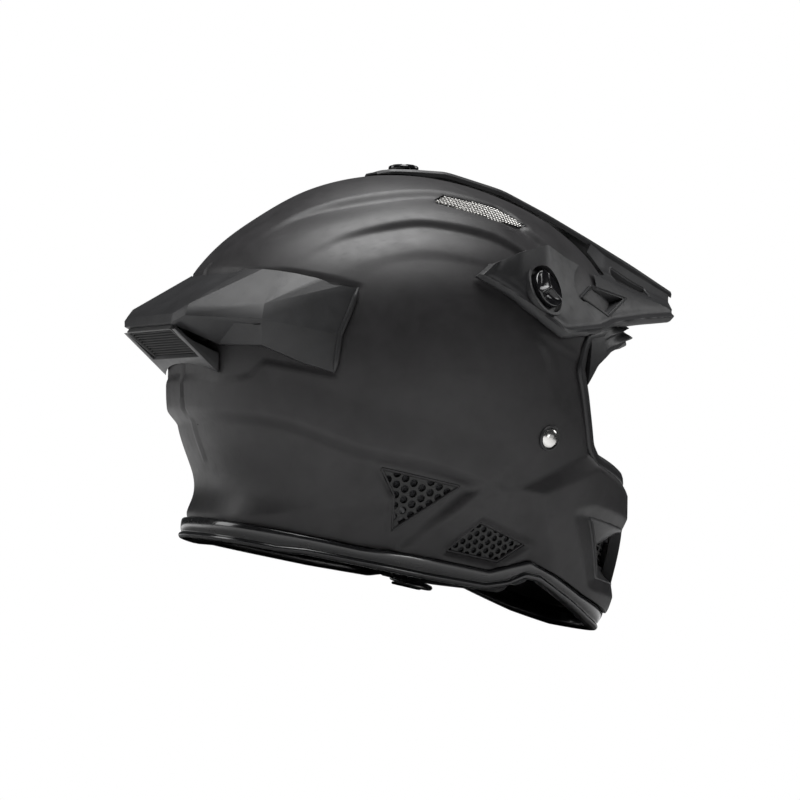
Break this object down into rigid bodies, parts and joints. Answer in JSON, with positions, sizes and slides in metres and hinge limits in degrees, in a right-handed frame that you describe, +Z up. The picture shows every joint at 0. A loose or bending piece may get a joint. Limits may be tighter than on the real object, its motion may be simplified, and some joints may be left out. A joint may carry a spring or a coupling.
{
  "type": "off-road helmet",
  "caption": "Full-face off-road helmet with a tilting visor on screws, eye port, chin bar, vents, rear spoiler, foam liner, comfort pads and a chin strap with ring buckle.",
  "frame": {"origin": "on the surface the helmet stands on, under the middle of its bounding box", "axes": "+Z up, the helmet faces -Y, the wearer's left is +X, X=0 is the mirror plane"},
  "size_m": [0.2566, 0.382, 0.2879],
  "materials": {
    "shell_black": "matte, fine grain",
    "visor_black": "satin, fine grain",
    "satin_black": "satin",
    "gloss_rubber": "glossy",
    "grille_black": "matte",
    "metal_mesh": "woven mesh",
    "foam_black": "expanded foam",
    "pad_fabric": "brushed knit",
    "snap_plastic": "gloss",
    "strap_webbing": "woven webbing",
    "rivet_steel": "satin",
    "ring_steel": "polished",
    "knob_gloss": "gloss",
    "bush_brass": "turned"
  },
  "bodies": {
    "helmet": {"outer_shell": "shell_black", "bottom_edge_trim": "gloss_rubber", "eye_port_frame": "satin_black", "mouth_vent_frame": "satin_black", "mouth_vent_grille": "grille_black", "jaw_vent_grille_right": "grille_black", "jaw_vent_grille_left": "grille_black", "cheek_vent_grille_right": "grille_black", "cheek_vent_grille_left": "grille_black", "crown_vent_mesh_right": "metal_mesh", "crown_vent_mesh_left": "metal_mesh", "rear_spoiler": "satin_black", "rear_duct": "grille_black", "rear_grille": "grille_black", "impact_liner": "foam_black", "chin_foam": "foam_black", "crown_pad": "pad_fabric", "neck_roll": "pad_fabric", "cheek_pad_right": "pad_fabric", "cheek_pad_left": "pad_fabric", "cheek_pad_snaps_right": "snap_plastic", "cheek_pad_snaps_left": "snap_plastic", "chin_strap_right": "strap_webbing", "chin_strap_left": "strap_webbing", "strap_snap": "snap_plastic", "strap_rivet_right": "rivet_steel", "strap_rivet_left": "rivet_steel", "strap_anchor_right": "rivet_steel", "strap_anchor_left": "rivet_steel", "screw_inserts": "bush_brass"},
    "visor": {"visor": "visor_black"},
    "visor_screw_right": {"visor_screw_right": "knob_gloss"},
    "visor_screw_left": {"visor_screw_left": "knob_gloss"},
    "visor_screw_top": {"visor_screw_top": "knob_gloss"},
    "d_ring_upper": {"d_ring_upper": "ring_steel"},
    "d_ring_lower": {"d_ring_lower": "ring_steel"}
  },
  "joints": [
    {"name": "visor_tilt", "type": "hinge", "parent": "helmet", "child": "visor", "pos_m": [0, 0.014, 0.197], "axis": [1, 0, 0], "range_deg": [-2, 2]},
    {"name": "screw_turn_right", "type": "hinge", "parent": "helmet", "child": "visor_screw_right", "pos_m": [-0.1126, -0.032, 0.2051], "axis": [-0.8187, -0.3308, 0.4695], "continuous": true},
    {"name": "screw_turn_left", "type": "hinge", "parent": "helmet", "child": "visor_screw_left", "pos_m": [0.1126, -0.032, 0.2051], "axis": [0.8187, -0.3308, 0.4695], "continuous": true},
    {"name": "screw_turn_top", "type": "hinge", "parent": "helmet", "child": "visor_screw_top", "pos_m": [0, 0.0304, 0.2774], "axis": [0, 0.2079, 0.9781], "continuous": true},
    {"name": "ring_swing_upper", "type": "hinge", "parent": "helmet", "child": "d_ring_upper", "pos_m": [0.046, -0.062, 0.0108], "axis": [0, 1, 0], "range_deg": [0, 35]},
    {"name": "ring_swing_lower", "type": "hinge", "parent": "helmet", "child": "d_ring_lower", "pos_m": [0.046, -0.062, 0.0072], "axis": [0, 1, 0], "range_deg": [0, 5]}
  ]
}
